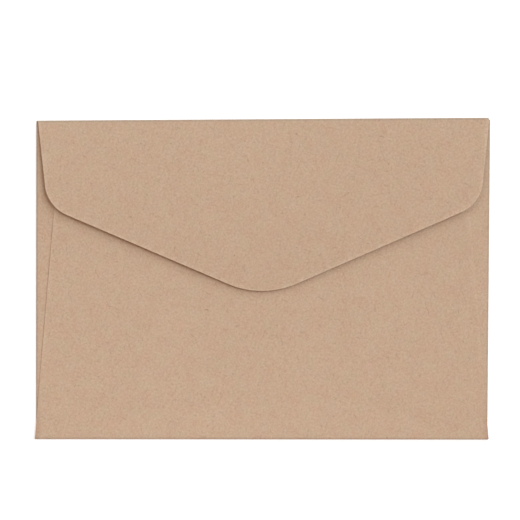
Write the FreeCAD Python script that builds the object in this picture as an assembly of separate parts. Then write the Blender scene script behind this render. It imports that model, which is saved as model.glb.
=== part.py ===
import FreeCAD, Part
import math
import os

# A paper envelope lying on its address side, with its flap folded down over the back and not stuck.
# It is one cut sheet, folded along its four sides and glued where the back panel lies on the side flaps.
# X runs along the envelope, Y from its bottom fold to its top fold, and Z up through its layers.
# Lengths are in millimetres and angles in degrees.

# The paper
sheet = 0.18                # thickness of the sheet

# The folded envelope, measured over the outside of its folds
width = 162.0               # between the side folds, at half height
height = 114.0              # from the bottom fold to the top fold, at the left side
top_rise = 1.2              # how much higher the top fold lies at the right side than at the left
right_lean = 0.9            # how much further out the right side lies at the top than at the bottom
bottom_nick = 4.0           # height above the bottom fold at which the side folds start
top_nick = 0.8              # distance below the top fold at which the side folds end

# The side flaps, folded in over the address panel
pocket_gap = 0.30           # clear space between the address panel and a side flap
side_reach = 46.0           # from a side fold to the flap's free edge
side_end_slope = 18.0       # how far the flap's two ends slope away from square

# The back panel, folded up from the bottom and glued down on the side flaps
back_height = 88.0          # from the bottom fold to the panel's free edge
back_taper = 4.75           # how far each edge leans in from upright
foot_overhang = 0.4         # how far the panel's foot stands out past each side fold
back_corner_radius = 6.0    # rounding of the panel's free corners

# The top flap, seen from above
base_inset = 0.53           # from a side of the envelope to the flap's edge, at the top fold
shoulder_inset = 3.8        # from a side of the envelope to the corner of the shoulder
shoulder_depth = 30.9       # from the top fold to the corner of the shoulder
shoulder_radius = 13.0      # rounding of the shoulders
tip_depth = 64.2            # from the top fold to the corner of the tip
tip_radius = 31.0           # rounding of the tip
corner_clip = 0.6           # clipped off the flap's right end at the top fold

# How far the flap lies to the right of the envelope's middle
base_shift = 0.13
shoulder_shift = 0.39
tip_shift = -0.1

# The top flap, seen from its end: it springs up from its fold and curves down again to its tip
flap_gap = 0.16             # clear space between a side flap and the top flap at its fold
tip_lift = 0.45             # how far the flap has risen at its tip
flap_arch = 0.55            # how much higher than the tip the flap is at its highest

# How far a cutting prism or a strip reaches past what it cuts
margin = 3.0


# Heights of the folds, each as tall as the layers that it holds
side_fold_height = 2 * sheet + pocket_gap
bottom_fold_height = side_fold_height + sheet
top_fold_height = side_fold_height + flap_gap + sheet

# The envelope's corners, as crossings of the outer lines of its folds
left_x = -width / 2
right_bottom_x = (width - right_lean) / 2
right_top_x = (width + right_lean) / 2
right_height = height + top_rise


def point(x, y, z=0.0):
    return FreeCAD.Vector(x, y, z)


def below_top(x, depth):
    """The place at x that lies depth below the top fold's outer line."""
    return point(x, height + top_rise * (x - left_x) / (right_top_x - left_x) - depth)


def on_right(y, inset=0.0):
    """The place at height y that lies inset in from the right side."""
    return point(right_bottom_x + right_lean * y / right_height - inset, y)


# The top flap's corners in plan, before they are rounded
base_left = below_top(left_x + base_inset + base_shift, 0)
base_right = below_top(right_top_x - base_inset + base_shift, 0)
shoulder_left = below_top(left_x + shoulder_inset + shoulder_shift, shoulder_depth)
right_at_shoulder = on_right(right_height - shoulder_depth).x
shoulder_right = below_top(right_at_shoulder - shoulder_inset + shoulder_shift, shoulder_depth)
tip = below_top(tip_shift, tip_depth)

# How deep the flap is down to its rounded tip
tip_slope = math.atan((tip_depth - shoulder_depth) / (shoulder_right.x - tip.x))
flap_depth = tip_depth - tip_radius * (1 / math.cos(tip_slope) - 1)


def tangent_points(before, corner, after, radius):
    """Start, middle and end of the arc that rounds one corner of an outline."""
    back = (before - corner).normalize()
    ahead = (after - corner).normalize()
    half_angle = back.getAngle(ahead) / 2
    setback = radius / math.tan(half_angle)
    to_centre = (back + ahead).normalize()
    middle = corner + to_centre * (radius / math.sin(half_angle) - radius)
    return corner + back * setback, middle, corner + ahead * setback


def plan_face(corners, radii):
    """A flat face at z = 0 through corners taken in order round it, rounded where radii names one."""
    ends = []
    for i, corner in enumerate(corners):
        if i in radii:
            following = corners[(i + 1) % len(corners)]
            ends.append(tangent_points(corners[i - 1], corner, following, radii[i]))
        else:
            ends.append((corner, None, corner))
    edges = []
    for i, (start, middle, end) in enumerate(ends):
        edges.append(Part.LineSegment(ends[i - 1][2], start).toShape())
        if middle:
            edges.append(Part.Arc(start, middle, end).toShape())
    return Part.Face(Part.Wire(edges))


def plan_prism(corners, radii):
    """All the space straight above and below a plan outline."""
    face = plan_face(corners, radii)
    face.translate(point(0, 0, -margin))
    return face.extrude(point(0, 0, 2 * margin + top_fold_height + tip_lift + flap_arch))


def plate(corners):
    """A flat piece of the sheet lying at z = 0."""
    return plan_face(corners, {}).extrude(point(0, 0, sheet))


def ribbon(start, end, segments):
    """Sweep a fold's section along its outer line, from start to end and a margin past both.

    The section is a closed run of lines and arcs through (distance in from the line, height) points.
    Inwards is to the left of the way from start to end.
    """
    along = (end - start).normalize()
    inward = point(-along.y, along.x)
    first = start - along * margin
    edges = []
    for section_points in segments:
        placed = [first + inward * distance + point(0, 0, z) for distance, z in section_points]
        curve = Part.LineSegment(*placed) if len(placed) == 2 else Part.Arc(*placed)
        edges.append(curve.toShape())
    face = Part.Face(Part.Wire(edges))
    return face.extrude(along * (start.distanceToPoint(end) + 2 * margin))


def flat_fold(fold_height, hold, reach):
    """Section of a half-turn fold whose two layers lie flat, one above the other.

    The lower layer reaches in as far as hold and the upper one as far as reach.
    """
    outer = fold_height / 2
    return [
        [(hold, 0), (outer, 0)],
        [(outer, 0), (0, outer), (outer, fold_height)],
        [(outer, fold_height), (reach, fold_height)],
        [(reach, fold_height), (reach, fold_height - sheet)],
        [(reach, fold_height - sheet), (outer, fold_height - sheet)],
        [(outer, fold_height - sheet), (sheet, outer), (outer, sheet)],
        [(outer, sheet), (hold, sheet)],
        [(hold, sheet), (hold, 0)],
    ]


def polar(centre, radius, angle):
    """The section point at radius from a centre, at an angle from upright towards the fold."""
    return centre[0] - radius * math.sin(angle), centre[1] + radius * math.cos(angle)


def sprung_fold(fold_height, hold, reach):
    """Section of the top fold: a turn of less than a half, then the flap as one long shallow arc.

    The arc rises to tip_lift + flap_arch and is back down to tip_lift at the flap's depth.
    """
    outer = fold_height / 2
    inner = outer - sheet
    crown = tip_lift + flap_arch
    spring = 2 * crown * (1 + math.sqrt(flap_arch / crown)) / flap_depth
    bow = 2 * crown / spring ** 2
    under_bow = bow - sheet
    fold_centre = (outer, outer)
    bow_centre = polar(fold_centre, outer - bow, spring)
    half_turn = (math.pi + spring) / 2
    far = spring - reach / bow
    halfway = (spring + far) / 2
    top_start = polar(fold_centre, outer, spring)
    top_end = polar(bow_centre, bow, far)
    under_start = polar(fold_centre, inner, spring)
    under_end = polar(bow_centre, under_bow, far)
    return [
        [(hold, 0), (outer, 0)],
        [(outer, 0), polar(fold_centre, outer, half_turn), top_start],
        [top_start, polar(bow_centre, bow, halfway), top_end],
        [top_end, under_end],
        [under_end, polar(bow_centre, under_bow, halfway), under_start],
        [under_start, polar(fold_centre, inner, half_turn), (outer, sheet)],
        [(outer, sheet), (hold, sheet)],
        [(hold, sheet), (hold, 0)],
    ]


# How far in from a fold its strip reaches over the address panel, and where the panel's own plate ends
side_hold = 2 * side_fold_height
top_hold = 2 * top_fold_height
side_lap = 1.5 * side_fold_height
top_lap = 1.5 * top_fold_height


def address_panel():
    """The large flat panel underneath, as far as the strips along its folds."""
    return plate([
        point(left_x + side_lap, bottom_nick / 2),
        on_right(bottom_nick / 2, side_lap),
        below_top(right_top_x - side_lap, top_lap),
        below_top(left_x + side_lap, top_lap),
    ])


def top_left_corner():
    """The address panel's square corner, which shows beside the top flap."""
    low = height - top_nick
    down = (base_left.y - low) / (base_left.y - shoulder_left.y)
    return plate([
        point(left_x, low),
        base_left + (shoulder_left - base_left) * down,
        base_left,
        point(left_x, height),
    ])


def side_flap(start, end, low, high, inward):
    """A side fold and the flap that it carries, whose ends slope away from low and high.

    The fold runs from start to end. Inward is 1 on the left side and -1 on the right.
    """
    strip = ribbon(start, end, flat_fold(side_fold_height, side_hold, side_reach))
    hold = point(inward * side_hold, 0)
    beyond = point(inward * margin, 0)
    across = point(inward * side_reach, 0)
    fall = point(0, side_reach * math.tan(math.radians(side_end_slope)))
    ends = plan_prism([
        low - beyond,
        low + hold,
        low + hold + across + fall,
        high + hold + across - fall,
        high + hold,
        high - beyond,
    ], {})
    return strip.common(ends)


def left_side_flap():
    return side_flap(
        point(left_x, height), point(left_x, 0),
        point(left_x, bottom_nick), point(left_x, height - top_nick), 1)


def right_side_flap():
    return side_flap(
        point(right_bottom_x, 0), point(right_top_x, right_height),
        on_right(bottom_nick), on_right(right_height - top_nick), -1)


def back_panel():
    """The bottom fold and the panel that it carries up over the side flaps."""
    fold = flat_fold(bottom_fold_height, bottom_nick, back_height)
    strip = ribbon(point(left_x, 0), point(right_bottom_x, 0), fold)
    lean = math.tan(math.radians(back_taper))
    foot_left = left_x - foot_overhang
    foot_right = right_bottom_x + foot_overhang
    ends = plan_prism([
        point(foot_left - margin * lean, -margin),
        point(foot_right + margin * lean, -margin),
        point(foot_right - back_height * lean, back_height),
        point(foot_left + back_height * lean, back_height),
    ], {2: back_corner_radius, 3: back_corner_radius})
    return strip.common(ends)


def top_flap():
    """The top fold and the flap that it carries down over the back panel."""
    fold = sprung_fold(top_fold_height, top_hold, flap_depth + margin)
    strip = ribbon(point(right_top_x, right_height), point(left_x, height), fold)
    clipped_right = below_top(base_right.x - corner_clip, 0)
    above = point(0, margin)
    ends = plan_prism([
        base_left + above,
        base_left,
        shoulder_left,
        tip,
        shoulder_right,
        below_top(base_right.x, corner_clip),
        clipped_right,
        clipped_right + above,
    ], {2: shoulder_radius, 3: tip_radius, 4: shoulder_radius})
    return strip.common(ends)


def envelope():
    """The whole folded sheet as one solid, with its origin at the bottom centre of its box."""
    shape = address_panel().fuse([
        top_left_corner(),
        left_side_flap(),
        right_side_flap(),
        back_panel(),
        top_flap(),
    ]).removeSplitter()
    box = shape.optimalBoundingBox()
    shape.translate(point(-box.Center.x, -box.Center.y, -box.ZMin))
    return shape


os.makedirs("parts", exist_ok=True)
envelope().exportStep("parts/envelope.step")
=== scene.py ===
import math
from collections import namedtuple

import bmesh
import bpy
from bpy.props import FloatProperty, FloatVectorProperty, IntProperty, PointerProperty
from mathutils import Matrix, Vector, noise
from mathutils.geometry import intersect_point_line


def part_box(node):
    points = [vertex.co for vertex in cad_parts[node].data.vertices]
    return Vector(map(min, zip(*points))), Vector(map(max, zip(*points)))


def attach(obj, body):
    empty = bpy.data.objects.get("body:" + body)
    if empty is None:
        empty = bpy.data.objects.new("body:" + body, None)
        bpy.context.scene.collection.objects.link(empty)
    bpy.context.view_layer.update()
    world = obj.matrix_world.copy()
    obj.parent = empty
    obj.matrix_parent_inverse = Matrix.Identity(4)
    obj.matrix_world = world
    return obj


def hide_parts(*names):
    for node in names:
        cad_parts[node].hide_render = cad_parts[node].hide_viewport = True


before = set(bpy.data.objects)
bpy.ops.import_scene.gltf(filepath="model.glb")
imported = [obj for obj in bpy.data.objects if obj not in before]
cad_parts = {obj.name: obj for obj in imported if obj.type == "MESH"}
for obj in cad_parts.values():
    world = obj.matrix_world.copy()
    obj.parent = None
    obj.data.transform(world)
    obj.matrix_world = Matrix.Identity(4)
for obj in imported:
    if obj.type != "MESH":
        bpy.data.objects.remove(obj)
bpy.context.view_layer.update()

bl_info = {
    "name": "Kraft Envelope",
    "version": (1, 0, 0),
    "blender": (4, 5, 0),
    "location": "3D View > Sidebar > Envelope",
    "description": "Folds a kraft paper envelope from one cut sheet and lights it in a plain studio",
    "category": "Object",
}

mm = 0.001

# The panels of the sheet
ADDRESS, LEFT_FLAP, RIGHT_FLAP, BACK, TOP_FLAP = range(5)

# How much painted shade darkens the fold of each panel, from 0 to 1
FOLD_SHADE = {LEFT_FLAP: 0.8, RIGHT_FLAP: 0.9, BACK: 0.4, TOP_FLAP: 1.0}

# How strongly the cut edges of each panel are painted paler as a painted highlight, from 0 to 1
CUT_EDGE_HIGHLIGHT = {ADDRESS: 0.0, LEFT_FLAP: 0.0, RIGHT_FLAP: 0.0, BACK: 0.5, TOP_FLAP: 1.0}

# How near to a corner a cut has to pass to go through it
SNAP = 0.001 * mm

# Blotches in the paper: how wide, how many finer layers they carry, how rough those are, and a seed
Blotch = namedtuple("Blotch", "size detail roughness seed")
FINE = Blotch(0.36 * mm, 1.0, 0.5, 1.3)
MIDDLING = Blotch(1.1 * mm, 2.0, 0.5, 2.9)
CLOUDY = Blotch(4.0 * mm, 3.0, 0.5, 4.1)
BROAD = Blotch(30.0 * mm, 1.0, 0.5, 7.7)
PINKNESS = Blotch(2.8 * mm, 3.0, 0.6, 9.2)
GREENNESS = Blotch(2.2 * mm, 3.0, 0.6, 11.6)
BLUENESS = Blotch(2.6 * mm, 3.0, 0.6, 15.1)
FIBRE_ENDS = Blotch(0.4 * mm, 2.0, 0.5, 3.3)

# Fibres: how long, how thick, how many finer layers they carry, how far they bend, and the sets of them,
# each with the angle that it runs at and a seed
Fibre = namedtuple("Fibre", "along across detail bend sets")
STREAKS = Fibre(2.4 * mm, 0.35 * mm, 1.0, 0.6, ((28.0, 2.0), (-41.0, 5.0)))
LONG_FIBRES = Fibre(4.0 * mm, 0.42 * mm, 0.0, 0.9, ((65.0, 3.0), (-25.0, 8.0), (110.0, 14.0)))
SHORT_FIBRES = Fibre(1.8 * mm, 0.38 * mm, 0.0, 0.9, ((12.0, 21.0), (85.0, 27.0)))

# How high the noise of the fibres is where one starts to show, and where it shows in full
FIBRE_START = 0.76
FIBRE_FULL = 0.90

# Specks: how far apart their places are, their greatest radius, and the share of places that hold one
Speck = namedtuple("Speck", "spacing radius chance")
DOTS = Speck(11.0 * mm, 0.55 * mm, 0.14)
SLIVERS = Speck(9.0, 0.6, 0.05)

# The angle of the slivers, and the length and thickness that count as 1 in their sizes
SLIVER_ANGLE = -8.0
SLIVER_LENGTH = 1.9 * mm
SLIVER_THICKNESS = 0.55 * mm

# How ragged a speck is: how close the bends in its outline come, and how deep they are in its radius
RAGGED_RATE = 0.6
RAGGED_DEPTH = 1.2

# How each channel of the paper's colour follows its lightness, how far it swings with the pink, green
# and blue blotches, and how much darker it is painted on a fold, as painted shade
Tint = namedtuple("Tint", "power blotches fold_wear")
TINTS = {
    "Red": Tint(0.75, (0.06, 0.0, 0.0), 0.23),
    "Green": Tint(1.0, (-0.08, 0.11, 0.0), 0.19),
    "Blue": Tint(1.12, (-0.06, 0.06, 0.10), 0.16),
}


def length(name, description, millimetres):
    return FloatProperty(
        name=name, description=description, default=millimetres * mm, unit="LENGTH", precision=5)


def angle(name, description, degrees):
    return FloatProperty(
        name=name, description=description, default=math.radians(degrees), subtype="ANGLE")


def share(name, description, default):
    return FloatProperty(
        name=name, description=description, default=default, min=0.0, subtype="FACTOR")


def colour(name, description, default):
    return FloatVectorProperty(
        name=name, description=description, default=default, subtype="COLOR", min=0.0, max=1.0)


def count(name, description, default):
    return IntProperty(name=name, description=description, default=default, min=2)


class EnvelopeSizes(bpy.types.PropertyGroup):
    """Sizes of the envelope, which its solid model has too."""

    sheet: length("Sheet", "Thickness of the paper", 0.18)

    width: length("Width", "Between the outer lines of the side folds, at half height", 162.0)
    height: length("Height", "From the bottom fold to the top fold, at the left side", 114.0)
    top_rise: length("Top rise", "How much higher the top fold lies at the right side than at the left", 1.2)
    right_lean: length(
        "Right lean", "How much further out the right side lies at the top than at the bottom", 0.9)
    bottom_nick: length("Bottom nick", "Height above the bottom fold at which the side folds start", 4.0)
    top_nick: length("Top nick", "Distance below the top fold at which the side folds end", 0.8)

    pocket_gap: length("Pocket gap", "Clear space between the address panel and a side flap", 0.30)
    side_reach: length("Side reach", "From a side fold to the side flap's free edge", 46.0)
    side_end_slope: angle("Side end slope", "How far a side flap's ends slope away from square", 18.0)

    back_height: length("Back height", "From the bottom fold to the back panel's free edge", 88.0)
    back_taper: angle("Back taper", "How far each edge of the back panel leans in from upright", 4.75)
    foot_overhang: length(
        "Foot overhang", "How far the back panel's foot stands out past each side fold", 0.4)
    back_corner_radius: length("Back corner radius", "Rounding of the back panel's free corners", 6.0)

    base_inset: length("Base inset", "From a side to the top flap's edge, at the top fold", 0.53)
    shoulder_inset: length("Shoulder inset", "From a side to the corner of the shoulder", 3.8)
    shoulder_depth: length("Shoulder depth", "From the top fold to the corner of the shoulder", 30.9)
    shoulder_radius: length("Shoulder radius", "Rounding of the shoulders", 13.0)
    tip_depth: length("Tip depth", "From the top fold to the corner of the tip", 64.2)
    tip_radius: length("Tip radius", "Rounding of the tip", 31.0)
    corner_clip: length("Corner clip", "Clipped off the top flap's right end at its fold", 0.6)
    base_shift: length("Base shift", "How far the flap's base lies to the right", 0.13)
    shoulder_shift: length("Shoulder shift", "How far the shoulders lie to the right", 0.39)
    tip_shift: length("Tip shift", "How far the tip lies to the right", -0.1)

    flap_gap: length("Flap gap", "Clear space between a side flap and the top flap at its fold", 0.16)
    tip_lift: length("Tip lift", "How far the top flap has risen at its tip", 0.45)
    flap_arch: length("Flap arch", "How much higher than the tip the top flap is at its highest", 0.55)


class PaperRelief(bpy.types.PropertyGroup):
    """How the folded sheet departs from flat, where it is painted lighter or darker as light and shade, and
    how finely it is divided.
    """

    slit: length("Slit", "Width of the cuts that part the flaps from their neighbours at the corners", 0.02)
    glue: length("Glue", "Space between the back panel and the side flaps under it", 0.01)
    dip: length("Dip", "How far the back panel dips between the side flaps", 0.14)
    dip_run: length("Dip run", "Distance over which it dips", 7.0)
    wave: length("Wave", "Height of the slow waves in the panels", 0.035)
    wave_spacing: length("Wave spacing", "Distance between the slow waves", 38.0)

    # The band along the cut edges is painted paler as a painted highlight, and darker at the back panel's
    # foot as painted shade
    edge_band: length("Edge band", "Width of the worn band along the cut edges", 0.4)
    # Painted shade: how far past its turn a fold is painted darker
    fold_shade_run: length("Wear run", "How far the darker wear of a fold reaches past its turn", 0.5)
    # Painted shade: the back panel's side edges are painted darker towards its foot
    foot_shade: share("Foot dark", "How much darker the back panel's side edges are at its foot", 1.8)
    foot_run: length("Foot run", "Distance over which they darken towards the foot", 25.0)

    cell: length("Cell", "Spacing of the cuts that divide the panels", 2.0)
    turn_cuts: count("Turn cuts", "Cuts across the turn of a fold", 8)
    corner_cuts: count("Corner cuts", "Segments in the rounding of a corner", 24)


class PaperLook(bpy.types.PropertyGroup):
    """Colours and texture of the kraft paper."""

    tone: colour("Paper", "Mean colour of the paper", (0.558, 0.381, 0.262))
    roughness: share("Roughness", "Roughness of the paper", 0.88)
    gloss: share("Gloss", "Specular level of the paper", 0.22)

    fine: share("Fine grain", "How far the finest grain swings the paper's lightness", 0.35)
    middling: share("Middling grain", "How far the coarser grain swings it", 0.06)
    cloudy: share("Clouds", "How far the small clouds swing it", 0.065)
    broad: share("Broad clouds", "How far the large clouds swing it", 0.03)
    streak: share("Streaks", "How far each set of streaks swings it", 0.08)
    long_fibre: share("Long fibres", "How much darker the long fibres are", 0.14)
    short_fibre: share("Short fibres", "How much darker the short fibres are", 0.17)
    # Painted highlight: how much paler the band along a cut edge is painted
    edge_highlight: share("Cut edges", "How much paler the worn band along a cut edge is", 0.16)

    speck_tone: share("Speck tone", "How light a speck is, as a share of the paper", 0.45)
    speck_cover: share("Speck cover", "How much of the paper a speck hides in its middle", 0.8)
    end_pale: share("Fibre ends", "How light the fibre ends in a cut are, as a share of the paper", 1.12)
    end_dull: share("Between ends", "How light the paper is between them, as a share of the paper", 0.90)

    tooth: share("Tooth", "How strongly the grain stands out in relief", 0.25)
    tooth_height: length("Tooth height", "Height of that relief", 0.03)
    tooth_grain: share("Tooth grain", "Share of that relief that is grain, where the rest is streaks", 0.6)


class StageLook(bpy.types.PropertyGroup):
    """The floor, the light and the camera."""

    floor_reach: length("Floor reach", "From the middle of the floor to its edge", 3000.0)
    floor_drop: length("Floor drop", "How far below the envelope the floor lies", 0.02)
    floor_tone: colour("Floor", "Colour of the floor", (0.82, 0.82, 0.82))
    floor_glow: share("Floor glow", "Light added to the floor for the camera, so that it shows white", 0.45)

    sky: share("Sky", "Strength of the even light from all round, as a share of the whole", 0.29)
    sky_tone: colour("Sky colour", "Colour of the even light", (1.0, 0.5, 0.19))

    key: share("Key", "Strength of the key light, as a share of the whole", 0.70)
    key_tone: colour("Key colour", "Colour of the key light", (0.71, 0.89, 1.0))
    key_bearing: angle("Key bearing", "Direction of the key light, from right round to top", 26.0)
    key_height: angle("Key height", "Elevation of the key light", 35.5)
    key_distance: length("Key distance", "From the envelope to the key light", 12000.0)
    key_size: length("Key size", "Side of the square key light", 10560.0)

    rear: share("Rear", "Strength of the light beyond the top fold, as a share of the whole", 0.178)
    rear_tone: colour("Rear colour", "Colour of the rear light", (0.71, 0.89, 1.0))
    rear_bearing: angle("Rear bearing", "Direction of the rear light, from right round to top", 138.0)
    rear_height: angle("Rear height", "Elevation of the rear light", 30.0)
    rear_distance: length("Rear distance", "From the envelope to the rear light", 12000.0)
    rear_size: length("Rear size", "Side of the square rear light", 8400.0)

    low: share("Low", "Strength of the low narrow light, as a share of the whole", 0.107)
    low_tone: colour("Low colour", "Colour of the low light", (0.71, 0.89, 1.0))
    low_bearing: angle("Low bearing", "Direction of the low light, from right round to top", 70.0)
    low_height: angle("Low height", "Elevation of the low light", 15.5)
    low_distance: length("Low distance", "From the envelope to the low light", 12000.0)
    low_size: length("Low size", "Side of the square low light", 3600.0)

    fill: share("Fill", "Strength of the near light beyond the bottom fold, as a share of the whole", 0.145)
    fill_tone: colour("Fill colour", "Colour of the fill light", (0.91, 0.96, 1.0))
    fill_bearing: angle("Fill bearing", "Direction of the fill light, from right round to top", 258.0)
    fill_height: angle("Fill height", "Elevation of the fill light", 45.0)
    fill_distance: length("Fill distance", "From the envelope to the fill light", 450.0)
    fill_size: length("Fill size", "Side of the square fill light", 300.0)

    camera_height: length("Camera height", "From the floor to the camera", 517.5)
    camera_x: length("Camera X", "Where the camera looks, to the right of the middle", -0.93)
    camera_y: length("Camera Y", "Where the camera looks, above the middle", 6.57)
    camera_roll: angle("Camera roll", "How far the camera is turned from square", 0.06)
    camera_start: length("Camera start", "Distance from the camera at which it starts to see", 10.0)
    lens: FloatProperty(
        name="Lens", description="Focal length of the camera in millimetres", default=100.0, unit="CAMERA")


class Fold:
    """One fold of the sheet: its outer line in plan, and the section that carries a panel over.

    Inwards is to the left of the way from start to end. A plain fold lands flat. A sprung one turns by
    less than a half and goes on as one long shallow arc.
    """

    def __init__(self, start, end, height, sheet, spring=0.0, bow=None):
        self.start = start
        self.along = (end - start).normalized()
        self.inward = Vector((-self.along.y, self.along.x))
        self.outer = height / 2
        self.radius = self.outer - sheet / 2
        self.turn_length = (math.pi - spring) * self.radius
        self.landing = self.outer - self.radius * math.sin(spring)
        self.bow_radius = None
        if bow:
            self.bow_radius = bow - sheet / 2
            self.bow_inwards = self.outer + (bow - self.outer) * math.sin(spring)
            self.bow_height = self.outer - (bow - self.outer) * math.cos(spring)

    def inwards(self, place):
        """How far inwards of the fold's outer line a place in plan is."""
        return (place - self.start).dot(self.inward)

    def laid_flat(self, place):
        """Where a place on the folded panel, seen in plan, lies on the flat blank."""
        inwards = self.inwards(place)
        return place + self.inward * (self.outer - self.turn_length - (inwards - self.landing) - inwards)

    def height_at(self, inwards):
        """Height of the middle of the folded panel's paper."""
        if self.bow_radius is None:
            return self.outer + self.radius
        across = inwards - self.bow_inwards
        return self.bow_height + math.sqrt(self.bow_radius ** 2 - across ** 2)

    def turned(self, place):
        """How far a place on the blank lies into the fold's turn, in turns of 1."""
        return (self.outer - self.inwards(place)) / self.turn_length

    def folded(self, place):
        """Where a place on the blank comes to lie, in plan, and how high."""
        flat_inwards = self.inwards(place)
        beyond = self.outer - flat_inwards
        if beyond < self.turn_length:
            turn = beyond / self.radius
            inwards = self.outer - self.radius * math.sin(turn)
            height = self.outer - self.radius * math.cos(turn)
        else:
            inwards = self.landing + beyond - self.turn_length
            height = self.height_at(inwards)
        return place + self.inward * (inwards - flat_inwards), height


class Blank:
    """The sheet before it is folded: its folds, its named corners and its panels.

    X is measured from the envelope's middle and Y from its bottom fold. The address panel is in place
    and the others are laid out round it.
    """

    def __init__(self, sizes, relief):
        self.sizes = sizes
        self.left_x = -sizes.width / 2
        self.right_bottom_x = (sizes.width - sizes.right_lean) / 2
        self.right_top_x = (sizes.width + sizes.right_lean) / 2
        self.right_height = sizes.height + sizes.top_rise
        self.lean = math.tan(sizes.back_taper)
        self.end_fall = math.tan(sizes.side_end_slope)
        self.folds = self.make_folds(relief)
        self.corners = {}
        self.rounded = {}
        self.panels = {
            ADDRESS: self.address_corners(relief),
            LEFT_FLAP: self.left_flap_corners(),
            RIGHT_FLAP: self.right_flap_corners(),
            BACK: self.back_corners(),
            TOP_FLAP: self.top_flap_corners(),
        }

    def below_top(self, x, depth):
        """The place at x that lies depth below the top fold's outer line."""
        across = (x - self.left_x) / (self.right_top_x - self.left_x)
        return Vector((x, self.sizes.height + self.sizes.top_rise * across - depth))

    def on_right(self, y, inset=0.0):
        """The place at height y that lies inset in from the right side."""
        lean = self.sizes.right_lean * y / self.right_height
        return Vector((self.right_bottom_x + lean - inset, y))

    def back_left(self, y):
        """The back panel's left edge at height y."""
        return Vector((self.left_x - self.sizes.foot_overhang + self.lean * y, y))

    def back_right(self, y):
        """The back panel's right edge at height y."""
        return Vector((self.right_bottom_x + self.sizes.foot_overhang - self.lean * y, y))

    def make_folds(self, relief):
        """The four folds, each as tall as the layers that it holds."""
        sizes = self.sizes
        side_height = 2 * sizes.sheet + sizes.pocket_gap
        bottom_height = side_height + sizes.sheet
        top_height = side_height + sizes.flap_gap + sizes.sheet
        low_left = Vector((self.left_x, 0.0))
        high_left = Vector((self.left_x, sizes.height))
        low_right = Vector((self.right_bottom_x, 0.0))
        high_right = Vector((self.right_top_x, self.right_height))
        crown = sizes.tip_lift + sizes.flap_arch
        spring = 2 * crown * (1 + math.sqrt(sizes.flap_arch / crown)) / self.flap_depth()
        bow = 2 * crown / spring ** 2
        return {
            LEFT_FLAP: Fold(high_left, low_left, side_height - relief.glue, sizes.sheet),
            RIGHT_FLAP: Fold(low_right, high_right, side_height - relief.glue, sizes.sheet),
            BACK: Fold(low_left, low_right, bottom_height, sizes.sheet),
            TOP_FLAP: Fold(high_right, high_left, top_height, sizes.sheet, spring, bow),
        }

    def shoulders_and_tip(self):
        """The top flap's corners in plan, before they are rounded."""
        sizes = self.sizes
        left = self.left_x + sizes.shoulder_inset + sizes.shoulder_shift
        right_side = self.on_right(self.right_height - sizes.shoulder_depth).x
        right = right_side - sizes.shoulder_inset + sizes.shoulder_shift
        return (
            self.below_top(left, sizes.shoulder_depth),
            self.below_top(sizes.tip_shift, sizes.tip_depth),
            self.below_top(right, sizes.shoulder_depth),
        )

    def flap_depth(self):
        """From the top fold down to the rounded tip."""
        sizes = self.sizes
        _, tip, shoulder_right = self.shoulders_and_tip()
        slope = math.atan((sizes.tip_depth - sizes.shoulder_depth) / (shoulder_right.x - tip.x))
        return sizes.tip_depth - sizes.tip_radius * (1 / math.cos(slope) - 1)

    def address_corners(self, relief):
        """Place the corners of the address panel, and return their names in order round it."""
        sizes = self.sizes
        hem = self.folds[BACK].outer
        side = self.folds[LEFT_FLAP].outer
        top = self.folds[TOP_FLAP].outer
        ear = sizes.bottom_nick - relief.slit
        side_top = sizes.height - sizes.top_nick
        flap_left_x = self.left_x + sizes.base_inset + sizes.base_shift
        flap_right_x = self.right_top_x - sizes.base_inset + sizes.base_shift
        corners = {
            "foot right": self.back_right(hem),
            "ear right": self.back_right(ear),
            "side foot right": self.on_right(sizes.bottom_nick, side),
            "side top right": self.on_right(self.right_height - sizes.top_nick, side),
            "clip low": self.below_top(flap_right_x, sizes.corner_clip),
            "flap right": self.below_top(flap_right_x - sizes.corner_clip + top, top),
            "flap left": self.below_top(flap_left_x, top),
            "corner end": self.below_top(flap_left_x - relief.slit, 0.0),
            "corner": Vector((self.left_x, sizes.height)),
            "corner low": Vector((self.left_x, side_top + relief.slit)),
            "side top left": Vector((self.left_x + side, side_top)),
            "side foot left": Vector((self.left_x + side, sizes.bottom_nick)),
            "ear left": self.back_left(ear),
            "foot left": self.back_left(hem),
        }
        self.corners.update(corners)
        return list(corners)

    def side_end(self, outer_place, inward, upward):
        """The two corners of a side flap's sloping end, in plan, from its fold to its free edge.

        The end runs square to the fold for twice the fold's height before it starts to slope.
        """
        square = 4 * self.folds[LEFT_FLAP].outer
        reach = self.sizes.side_reach
        fall = (reach - square) * self.end_fall
        slope_start = outer_place + Vector((inward * square, 0.0))
        slope_end = outer_place + Vector((inward * reach, upward * fall))
        return slope_start, slope_end

    def left_flap_corners(self):
        """Place the corners of the left side flap, and return their names in order round it."""
        fold = self.folds[LEFT_FLAP]
        foot = Vector((self.left_x, self.sizes.bottom_nick))
        top = Vector((self.left_x, self.sizes.height - self.sizes.top_nick))
        low_start, low_end = self.side_end(foot, 1, 1)
        high_start, high_end = self.side_end(top, 1, -1)
        self.corners.update({
            "left low start": fold.laid_flat(low_start),
            "left low end": fold.laid_flat(low_end),
            "left high end": fold.laid_flat(high_end),
            "left high start": fold.laid_flat(high_start),
        })
        return ["side foot left", "side top left",
                "left high start", "left high end", "left low end", "left low start"]

    def right_flap_corners(self):
        """Place the corners of the right side flap, and return their names in order round it."""
        fold = self.folds[RIGHT_FLAP]
        foot = self.on_right(self.sizes.bottom_nick)
        top = self.on_right(self.right_height - self.sizes.top_nick)
        low_start, low_end = self.side_end(foot, -1, 1)
        high_start, high_end = self.side_end(top, -1, -1)
        self.corners.update({
            "right low start": fold.laid_flat(low_start),
            "right low end": fold.laid_flat(low_end),
            "right high end": fold.laid_flat(high_end),
            "right high start": fold.laid_flat(high_start),
        })
        return ["side top right", "side foot right",
                "right low start", "right low end", "right high end", "right high start"]

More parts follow.
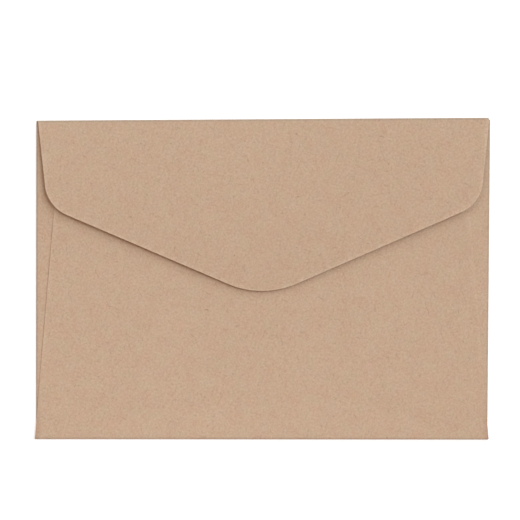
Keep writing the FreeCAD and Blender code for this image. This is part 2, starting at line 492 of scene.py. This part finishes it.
    def back_corners(self):
        """Place the corners of the back panel, and return their names in order round it."""
        fold = self.folds[BACK]
        sizes = self.sizes
        self.corners.update({
            "hem left": fold.laid_flat(self.back_left(fold.outer)),
            "back left": fold.laid_flat(self.back_left(sizes.back_height)),
            "back right": fold.laid_flat(self.back_right(sizes.back_height)),
            "hem right": fold.laid_flat(self.back_right(fold.outer)),
        })
        self.rounded["back left"] = sizes.back_corner_radius
        self.rounded["back right"] = sizes.back_corner_radius
        return ["foot right", "foot left", "hem left", "back left", "back right", "hem right"]

    def top_flap_corners(self):
        """Place the corners of the top flap, and return their names in order round it."""
        fold = self.folds[TOP_FLAP]
        sizes = self.sizes
        shoulder_left, tip, shoulder_right = self.shoulders_and_tip()
        base_left = self.corners["corner end"]
        clip_low = self.corners["clip low"]
        clip_middle = self.below_top(clip_low.x - sizes.corner_clip + sizes.sheet / 2, fold.outer)
        down = fold.landing / sizes.shoulder_depth
        self.corners.update({
            "clip middle": clip_middle - fold.inward * fold.turn_length / 2,
            "clip high": fold.laid_flat(clip_low),
            "shoulder right": fold.laid_flat(shoulder_right),
            "tip": fold.laid_flat(tip),
            "shoulder left": fold.laid_flat(shoulder_left),
            "landing left": fold.laid_flat(base_left.lerp(shoulder_left, down)),
        })
        self.rounded["shoulder right"] = sizes.shoulder_radius
        self.rounded["tip"] = sizes.tip_radius
        self.rounded["shoulder left"] = sizes.shoulder_radius
        return ["flap left", "flap right", "clip middle", "clip high",
                "shoulder right", "tip", "shoulder left", "landing left"]


def round_corner(bm, corner, radius, segments):
    """Round a free corner of a flat outline by an arc.

    The bevel's profile is set for the middle of its curve to lie on the arc whatever the corner's angle.
    """
    before, after = [(edge.other_vert(corner).co - corner.co).normalized() for edge in corner.link_edges]
    half_angle = before.angle(after) / 2
    bmesh.ops.bevel(
        bm, geom=[corner], affect="VERTICES", offset_type="OFFSET", offset=radius / math.tan(half_angle),
        segments=segments, profile=(1 - 0.5 / (1 + math.sin(half_angle))) ** 2, material=-1)


def outline_mesh(blank, relief):
    """The flat blank as one face a panel, with a narrow band along the cut edges that show."""
    bm = bmesh.new()
    panel_layer = bm.faces.layers.int.new("panel")
    verts = {name: bm.verts.new(place.to_3d()) for name, place in blank.corners.items()}
    for panel, names in blank.panels.items():
        bm.faces.new([verts[name] for name in names])[panel_layer] = panel
    for name, radius in blank.rounded.items():
        round_corner(bm, verts[name], radius, relief.corner_cuts)
    bm.normal_update()
    for panel in (BACK, TOP_FLAP):
        faces = [face for face in bm.faces if face[panel_layer] == panel]
        rim = bmesh.ops.inset_region(bm, faces=faces, thickness=relief.edge_band, use_even_offset=True)
        for face in rim["faces"]:
            face[panel_layer] = panel
    return bm, panel_layer


def cut(bm, panel_layer, panels, place, direction):
    """Divide the faces of some panels along the line through place that is square to direction."""
    faces = [face for face in bm.faces if face[panel_layer] in panels]
    edges = {edge for face in faces for edge in face.edges}
    verts = {vert for edge in edges for vert in edge.verts}
    bmesh.ops.bisect_plane(
        bm, geom=[*verts, *edges, *faces], dist=SNAP,
        plane_co=place.to_3d(), plane_no=direction.to_3d())


def spaced(start, stop, spacing):
    """Evenly spaced values between start and stop, without its ends, about spacing apart."""
    parts = max(1, round((stop - start) / spacing))
    return [start + (stop - start) * i / parts for i in range(1, parts)]


def divide_panels(bm, panel_layer, blank, relief):
    """Divide the blank finely enough to be folded and to lie in slow waves."""
    sizes = blank.sizes
    right = Vector((1.0, 0.0))
    up = Vector((0.0, 1.0))
    for x in spaced(blank.left_x, blank.right_bottom_x, relief.cell):
        cut(bm, panel_layer, (ADDRESS, BACK, TOP_FLAP), Vector((x, 0.0)), right)
    for y in spaced(sizes.bottom_nick, sizes.height - sizes.bottom_nick, relief.cell):
        cut(bm, panel_layer, (ADDRESS, LEFT_FLAP, RIGHT_FLAP), Vector((0.0, y)), up)
    reaches = {
        LEFT_FLAP: sizes.side_reach,
        RIGHT_FLAP: sizes.side_reach,
        BACK: sizes.back_height,
        TOP_FLAP: sizes.tip_depth,
    }
    for panel, fold in blank.folds.items():
        turn_end = fold.turn_length
        past_start = [turn_end * i / relief.turn_cuts for i in range(1, relief.turn_cuts + 1)]
        past_start.append(turn_end + relief.fold_shade_run)
        past_start.extend(spaced(turn_end, turn_end + reaches[panel], relief.cell))
        turn_start = fold.start + fold.inward * fold.outer
        for distance in past_start:
            cut(bm, panel_layer, (panel,), turn_start - fold.inward * distance, fold.inward)


def smooth_step(value):
    """A smooth rise from 0 to 1 as value goes from 0 to 1."""
    held = min(max(value, 0.0), 1.0)
    return held * held * (3 - 2 * held)


def dip_at(blank, relief, place):
    """How far the back panel has dipped at a place in plan.

    It lies on the side flaps, sags between them, and is held up by its own fold at the bottom.
    """
    sizes = blank.sizes
    clearances = []
    for fold in (blank.folds[LEFT_FLAP], blank.folds[RIGHT_FLAP]):
        inwards = fold.inwards(place)
        past_edge = inwards - sizes.side_reach
        below_end = sizes.bottom_nick + inwards * blank.end_fall - place.y
        above_end = place.y - (sizes.height - inwards * blank.end_fall)
        clearances.append(max(past_edge, below_end, above_end))
    clear = smooth_step(min(clearances) / relief.dip_run)
    past_fold = smooth_step(place.y / (2 * relief.dip_run))
    return relief.dip * clear * past_fold


def wave_at(relief, place, layer):
    """Height of the slow waves at a place in plan. Each layer of the envelope has its own."""
    spacing = relief.wave_spacing
    return relief.wave * noise.noise(Vector((place.x, place.y, layer * spacing)) / spacing)


def edge_band_falloff(vert, band):
    """1 on a cut edge of the flat blank, falling to 0 as far in as the band reaches."""
    if vert.is_boundary:
        return 1.0
    nearest = band
    for edge in vert.link_edges:
        for rim in edge.other_vert(vert).link_edges:
            if rim.is_boundary:
                start, end = (corner.co for corner in rim.verts)
                along = intersect_point_line(vert.co, start, end)[1]
                foot = start.lerp(end, min(max(along, 0.0), 1.0))
                nearest = min(nearest, (vert.co - foot).length)
    return 1 - nearest / band


def foot_shade_at(relief, panel, vert):
    """How much painted shade darkens a cut edge near the back panel's foot, where it goes down over the side
    fold.
    """
    if panel != BACK:
        return 0.0
    return relief.foot_shade * smooth_step(1 + vert.co.y / relief.foot_run)


def fold_sheet(bm, panel_layer, blank, relief):
    """Mark where the flat blank is painted lighter or darker as light and shade, and move every vertex to
    where the folds carry it.
    """
    fold_layer = bm.verts.layers.float.new("fold_wear")
    edge_layer = bm.verts.layers.float.new("cut_wear")
    panels = {vert: max(face[panel_layer] for face in vert.link_faces) for vert in bm.verts}
    for vert, panel in panels.items():
        # Cut edges are painted paler as a highlight, and the back panel's edges darker towards its foot as
        # painted shade
        edge_highlight_and_shade_amount = CUT_EDGE_HIGHLIGHT[panel] - foot_shade_at(relief, panel, vert)
        vert[edge_layer] = edge_highlight_and_shade_amount * edge_band_falloff(vert, relief.edge_band)
    for vert, panel in panels.items():
        if panel == ADDRESS:
            vert.co.z = blank.sizes.sheet / 2
            continue
        fold = blank.folds[panel]
        flat = vert.co.to_2d()
        past_turn = (abs(fold.turned(flat) - 0.5) - 0.5) * fold.turn_length
        # The folds are painted darker as painted shade
        vert[fold_layer] = FOLD_SHADE[panel] * (1 - smooth_step(past_turn / relief.fold_shade_run))
        place, height = fold.folded(flat)
        free = smooth_step((fold.inwards(place) - 2 * fold.outer) / relief.wave_spacing)
        height += free * wave_at(relief, place, panel)
        if panel == BACK:
            height -= dip_at(blank, relief, place)
        vert.co = (place.x, place.y, height)


def lay_out_uv(bm, middle, span):
    """A UV map that shows the sheet flat, span wide, so that the grain runs on over the folds."""
    uv_layer = bm.loops.layers.uv.new("flat")
    for face in bm.faces:
        for loop in face.loops:
            loop[uv_layer].uv = (loop.vert.co.to_2d() - middle) / span + Vector((0.5, 0.5))


def shade_smooth(bm):
    """Shade the paper as one smooth surface with sharp cut edges."""
    for face in bm.faces:
        face.smooth = True
    for edge in bm.edges:
        edge.smooth = not edge.is_boundary


class NodePen:
    """Adds nodes to a material or a world, and links them as it goes."""

    def __init__(self, tree):
        self.tree = tree
        tree.nodes.clear()

    def add(self, kind, settings=None, **inputs):
        """A new node with its settings, and with inputs by name, each a value or a socket to link."""
        node = self.tree.nodes.new(kind)
        for name, value in (settings or {}).items():
            setattr(node, name, value)
        for name, value in inputs.items():
            self.feed(node.inputs[name.replace("_", " ")], value)
        return node

    def feed(self, socket, value):
        """Link a socket to an input, or give the input a value."""
        if isinstance(value, bpy.types.NodeSocket):
            self.tree.links.new(value, socket)
        else:
            socket.default_value = value

    def math(self, operation, *values):
        """One step of arithmetic on values or sockets."""
        node = self.tree.nodes.new("ShaderNodeMath")
        node.operation = operation
        for socket, value in zip(node.inputs, values):
            self.feed(socket, value)
        return node.outputs[0]

    def product(self, first, *others):
        """Multiply values or sockets together."""
        total = first
        for value in others:
            total = self.math("MULTIPLY", total, value)
        return total

    def mix(self, factor, first, second):
        """Mix two colours."""
        node = self.tree.nodes.new("ShaderNodeMix")
        node.data_type = "RGBA"
        self.feed(node.inputs["Factor"], factor)
        self.feed(node.inputs["A"], first)
        self.feed(node.inputs["B"], second)
        return node.outputs["Result"]

    def mapped(self, place, **inputs):
        """Places that are moved, turned or drawn out."""
        return self.add("ShaderNodeMapping", Vector=place, **inputs).outputs["Vector"]

    def flat_noise(self, place, **inputs):
        """Noise over a flat map, with a number and a colour to each place."""
        return self.add("ShaderNodeTexNoise", {"noise_dimensions": "2D"}, Vector=place, **inputs).outputs

    def eased(self, value, **inputs):
        """A value brought smoothly from one range to another."""
        node = self.add("ShaderNodeMapRange", {"interpolation_type": "SMOOTHSTEP"}, Value=value, **inputs)
        return node.outputs["Result"]


def changed(pen, value, amount):
    """A factor that goes from 1 to 1 + amount as value goes from 0 to 1."""
    return pen.math("MULTIPLY_ADD", value, amount, 1.0)


def swing(pen, value, amount):
    """A factor round 1 that follows a noise of mean one half."""
    return changed(pen, pen.math("SUBTRACT", value, 0.5), amount)


def flat_place(pen, span):
    """Places on the flat sheet, in metres from the middle of its map."""
    flat = pen.add("ShaderNodeUVMap", {"uv_map": "flat"})
    return pen.mapped(flat.outputs["UV"], Location=(-span / 2, -span / 2, 0.0), Scale=(span, span, span))


def drawn_out(pen, place, degrees, along, across):
    """The same places turned, and counted in one length along and another across."""
    turned = pen.mapped(place, Rotation=(0.0, 0.0, math.radians(degrees)))
    return pen.mapped(turned, Scale=(1 / along, 1 / across, 1.0))


def grain(pen, place, blotch):
    """Blotches of noise from 0 to 1.

    One light and one dark blotch make a cell of its grid, which each seed turns another way.
    """
    seed = blotch.seed
    turned = pen.mapped(place, Location=(seed, seed / 3, 0.0), Rotation=(0.0, 0.0, seed))
    cloud = pen.flat_noise(
        turned, Scale=1 / (2 * blotch.size), Detail=blotch.detail, Roughness=blotch.roughness)
    return cloud["Fac"]


def fibre_noise(pen, place, fibre):
    """Noise from 0 to 1 that is drawn out along each set of one kind of fibre."""
    sets = []
    for degrees, seed in fibre.sets:
        drawn = drawn_out(pen, place, degrees, fibre.along, fibre.across)
        shifted = pen.mapped(drawn, Location=(seed, seed, 0.0))
        cloud = pen.flat_noise(shifted, Scale=1.0, Detail=fibre.detail, Distortion=fibre.bend)
        sets.append(cloud["Fac"])
    return sets


def lone_fibres(pen, place, fibre, amount):
    """For each set of one kind of fibre, a factor of 1 that is less by amount on its rare fibres."""
    factors = []
    for noise_set in fibre_noise(pen, place, fibre):
        lone = pen.eased(noise_set, From_Min=FIBRE_START, From_Max=FIBRE_FULL)
        factors.append(changed(pen, lone, -amount))
    return factors


def specks_of(pen, place, speck):
    """Rare specks: 1 in the middle of a speck and 0 elsewhere."""
    bent = pen.flat_noise(place, Scale=RAGGED_RATE / speck.radius, Detail=1.0)
    wobble = pen.add("ShaderNodeVectorMath", {"operation": "SCALE"}, Scale=RAGGED_DEPTH * speck.radius)
    pen.feed(wobble.inputs[0], bent["Color"])
    moved = pen.add("ShaderNodeVectorMath", {"operation": "ADD"})
    pen.feed(moved.inputs[0], place)
    pen.feed(moved.inputs[1], wobble.outputs["Vector"])
    cells = pen.add("ShaderNodeTexVoronoi", {"voronoi_dimensions": "2D", "feature": "F1"},
                    Vector=moved.outputs["Vector"], Scale=1 / speck.spacing, Randomness=1.0)
    lot = pen.add("ShaderNodeSeparateColor", Color=cells.outputs["Color"])
    chosen = pen.math("LESS_THAN", lot.outputs["Red"], speck.chance)
    reach = pen.math("MULTIPLY", lot.outputs["Green"], speck.radius / speck.spacing)
    inside = pen.eased(cells.outputs["Distance"], From_Min=0.0, From_Max=reach, To_Min=1.0, To_Max=0.0)
    return pen.math("MULTIPLY", inside, chosen)


def shade_of(tone, lightness):
    """A tone made lighter or darker, with its alpha."""
    return (*(min(1.0, channel * lightness) for channel in tone), 1.0)


def paper_tint(pen, place, look, light):
    """The paper's colour at a lightness, with faint blotches of colour and painted shade on the folds."""
    fold_wear = pen.add("ShaderNodeAttribute", {"attribute_name": "fold_wear"}).outputs["Fac"]
    blotches = [grain(pen, place, blotch) for blotch in (PINKNESS, GREENNESS, BLUENESS)]
    channels = {}
    for tone, (name, tint) in zip(look.tone, TINTS.items()):
        swings = [
            swing(pen, blotch, amount) for blotch, amount in zip(blotches, tint.blotches) if amount]
        channels[name] = pen.product(
            tone, pen.math("POWER", light, tint.power), *swings, changed(pen, fold_wear, -tint.fold_wear))
    return pen.add("ShaderNodeCombineColor", **channels).outputs["Color"]


def paper_material(look, span):
    """Kraft paper: fine grain and fibres, faint blotches of colour, and rare dark specks and slivers."""
    material = bpy.data.materials.new("kraft paper")
    material.use_nodes = True
    pen = NodePen(material.node_tree)
    place = flat_place(pen, span)
    # Painted highlight and shade along the cut edges
    cut_wear = pen.add("ShaderNodeAttribute", {"attribute_name": "cut_wear"}).outputs["Fac"]
    fine = grain(pen, place, FINE)
    streaks = fibre_noise(pen, place, STREAKS)
    light = pen.product(
        swing(pen, fine, look.fine),
        swing(pen, grain(pen, place, MIDDLING), look.middling),
        swing(pen, grain(pen, place, CLOUDY), look.cloudy),
        swing(pen, grain(pen, place, BROAD), look.broad),
        *(swing(pen, streak, look.streak) for streak in streaks),
        *lone_fibres(pen, place, LONG_FIBRES, look.long_fibre),
        *lone_fibres(pen, place, SHORT_FIBRES, look.short_fibre),
        changed(pen, cut_wear, look.edge_highlight),
    )
    sliver_place = drawn_out(pen, place, SLIVER_ANGLE, SLIVER_LENGTH, SLIVER_THICKNESS)
    specks = pen.math(
        "MAXIMUM", specks_of(pen, place, DOTS), specks_of(pen, sliver_place, SLIVERS))
    specked = pen.mix(
        pen.math("MULTIPLY", specks, look.speck_cover),
        paper_tint(pen, place, look, light), shade_of(look.tone, look.speck_tone))
    relief = pen.math(
        "ADD", pen.math("MULTIPLY", fine, look.tooth_grain),
        pen.math("MULTIPLY", streaks[0], 1 - look.tooth_grain))
    bump = pen.add("ShaderNodeBump", Strength=look.tooth, Distance=look.tooth_height, Height=relief)
    paper = pen.add("ShaderNodeBsdfPrincipled", Base_Color=specked, Roughness=look.roughness,
                    Specular_IOR_Level=look.gloss, Normal=bump.outputs["Normal"])
    pen.add("ShaderNodeOutputMaterial", Surface=paper.outputs["BSDF"])
    return material


def cut_edge_material(look, span):
    """The cut edges of the paper, which are rough with paler fibre ends."""
    material = bpy.data.materials.new("kraft paper cut edge")
    material.use_nodes = True
    pen = NodePen(material.node_tree)
    ends = grain(pen, flat_place(pen, span), FIBRE_ENDS)
    tint = pen.mix(ends, shade_of(look.tone, look.end_dull), shade_of(look.tone, look.end_pale))
    paper = pen.add("ShaderNodeBsdfPrincipled", Base_Color=tint, Roughness=look.roughness,
                    Specular_IOR_Level=look.gloss)
    pen.add("ShaderNodeOutputMaterial", Surface=paper.outputs["BSDF"])
    return material


def seen_by_camera(pen):
    """1 for rays that show the background: straight to the camera, mirrored or through glass."""
    path = pen.add("ShaderNodeLightPath")
    mirrored = pen.math("MAXIMUM", path.outputs["Is Camera Ray"], path.outputs["Is Glossy Ray"])
    return pen.math("MAXIMUM", mirrored, path.outputs["Is Transmission Ray"])


def floor_material(look):
    """A pale floor that shows white to the camera and keeps the envelope's shadow."""
    material = bpy.data.materials.new("white floor")
    material.use_nodes = True
    pen = NodePen(material.node_tree)
    matt = pen.add("ShaderNodeBsdfDiffuse", Color=(*look.floor_tone, 1.0))
    glow = pen.add("ShaderNodeEmission", Color=(1.0, 1.0, 1.0, 1.0),
                   Strength=pen.math("MULTIPLY", seen_by_camera(pen), look.floor_glow))
    both = pen.add("ShaderNodeAddShader")
    pen.feed(both.inputs[0], matt.outputs["BSDF"])
    pen.feed(both.inputs[1], glow.outputs["Emission"])
    pen.add("ShaderNodeOutputMaterial", Surface=both.outputs["Shader"])
    return material


def light_sky(look):
    """Even light from all round, which shows white to the camera."""
    world = bpy.data.worlds.new("studio")
    bpy.context.scene.world = world
    world.use_nodes = True
    pen = NodePen(world.node_tree)
    even = pen.add("ShaderNodeBackground", Color=(*look.sky_tone, 1.0), Strength=look.sky)
    white = pen.add("ShaderNodeBackground", Color=(1.0, 1.0, 1.0, 1.0), Strength=1.0)
    chosen = pen.add("ShaderNodeMixShader")
    pen.feed(chosen.inputs[0], seen_by_camera(pen))
    pen.feed(chosen.inputs[1], even.outputs["Background"])
    pen.feed(chosen.inputs[2], white.outputs["Background"])
    pen.add("ShaderNodeOutputWorld", Surface=chosen.outputs["Shader"])


def linked(name, data):
    """A new object in the scene."""
    made = bpy.data.objects.new(name, data)
    bpy.context.scene.collection.objects.link(made)
    return made


def make_floor(look):
    """A large flat floor just under the envelope."""
    bm = bmesh.new()
    bmesh.ops.create_grid(bm, x_segments=1, y_segments=1, size=look.floor_reach)
    bmesh.ops.translate(bm, verts=bm.verts, vec=(0.0, 0.0, -look.floor_drop))
    mesh = bpy.data.meshes.new("floor")
    bm.to_mesh(mesh)
    bm.free()
    mesh.materials.append(floor_material(look))
    floor = linked("floor", mesh)


def make_lamp(look, name):
    """A wide soft light, set up by the properties that start with its name.

    Its strength is the share of plain white light that it gives on the envelope.
    """
    strength, tone, bearing, height, distance, size = [
        getattr(look, name + ending) for ending in ("", "_tone", "_bearing", "_height", "_distance", "_size")]
    light = bpy.data.lights.new(name, "AREA")
    light.shape = "SQUARE"
    light.size = size
    light.color = tone
    light.energy = strength * (math.pi * distance) ** 2 / math.sin(height)
    lamp = linked(name + " light", light)
    towards = Vector((
        math.cos(bearing) * math.cos(height),
        math.sin(bearing) * math.cos(height),
        math.sin(height),
    ))
    lamp.location = towards * distance
    lamp.rotation_mode = "QUATERNION"
    lamp.rotation_quaternion = towards.to_track_quat("Z", "Y")


def make_camera(look):
    """A camera straight above, as in the photograph."""
    lens = bpy.data.cameras.new("camera")
    lens.lens = look.lens
    lens.clip_start = look.camera_start
    camera = linked("camera", lens)
    camera.location = (look.camera_x, look.camera_y, look.camera_height)
    camera.rotation_euler = (0.0, 0.0, look.camera_roll)
    bpy.context.scene.camera = camera


class ENVELOPE_OT_fold_sheet(bpy.types.Operator):
    """Cut the blank, fold it and give it its paper"""

    bl_idname = "envelope.fold_sheet"
    bl_label = "Fold the Envelope"

    def execute(self, context):
        sizes = context.scene.envelope_sizes
        relief = context.scene.envelope_relief
        look = context.scene.envelope_look
        blank = Blank(sizes, relief)
        bm, panel_layer = outline_mesh(blank, relief)
        divide_panels(bm, panel_layer, blank, relief)
        span = 2 * sizes.width
        lay_out_uv(bm, Vector((0.0, sizes.height / 2)), span)
        fold_sheet(bm, panel_layer, blank, relief)
        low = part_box("envelope")[0]
        home = Vector((low.x + sizes.foot_overhang - blank.left_x, low.y, 0.0))
        bmesh.ops.translate(bm, verts=bm.verts, vec=home)
        bm.faces.layers.int.remove(panel_layer)
        shade_smooth(bm)
        mesh = bpy.data.meshes.new("folded_sheet")
        bm.to_mesh(mesh)
        bm.free()
        mesh.materials.append(paper_material(look, span))
        mesh.materials.append(cut_edge_material(look, span))
        piece = linked("folded_sheet", mesh)
        paper = piece.modifiers.new("paper thickness", "SOLIDIFY")
        paper.thickness = sizes.sheet
        paper.offset = 0.0
        paper.use_even_offset = True
        paper.material_offset_rim = 1
        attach(piece, "root")
        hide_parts("envelope")
        return {"FINISHED"}


class ENVELOPE_OT_set_stage(bpy.types.Operator):
    """Make the floor, the light and the camera"""

    bl_idname = "envelope.set_stage"
    bl_label = "Set the Stage"

    def execute(self, context):
        look = context.scene.envelope_stage
        make_floor(look)
        light_sky(look)
        for name in ("key", "rear", "low", "fill"):
            make_lamp(look, name)
        make_camera(look)
        context.scene.view_settings.view_transform = "Standard"
        return {"FINISHED"}


class ENVELOPE_PT_sidebar(bpy.types.Panel):
    """Sizes, looks and steps of the envelope"""

    bl_label = "Envelope"
    bl_idname = "ENVELOPE_PT_sidebar"
    bl_space_type = "VIEW_3D"
    bl_region_type = "UI"
    bl_category = "Envelope"

    def draw(self, context):
        for name in SETTINGS:
            box = self.layout.box()
            settings = getattr(context.scene, name)
            for prop in settings.bl_rna.properties:
                if prop.identifier not in ("rna_type", "name"):
                    box.prop(settings, prop.identifier)
        self.layout.operator(ENVELOPE_OT_fold_sheet.bl_idname)
        self.layout.operator(ENVELOPE_OT_set_stage.bl_idname)


SETTINGS = {
    "envelope_sizes": EnvelopeSizes,
    "envelope_relief": PaperRelief,
    "envelope_look": PaperLook,
    "envelope_stage": StageLook,
}
CLASSES = (*SETTINGS.values(), ENVELOPE_OT_fold_sheet, ENVELOPE_OT_set_stage, ENVELOPE_PT_sidebar)


def register():
    for cls in CLASSES:
        bpy.utils.register_class(cls)
    for name, settings in SETTINGS.items():
        setattr(bpy.types.Scene, name, PointerProperty(type=settings))


def unregister():
    for name in SETTINGS:
        delattr(bpy.types.Scene, name)
    for cls in reversed(CLASSES):
        bpy.utils.unregister_class(cls)


def main():
    register()
    bpy.ops.envelope.fold_sheet()
    bpy.ops.envelope.set_stage()


if __name__ == "__main__":
    main()
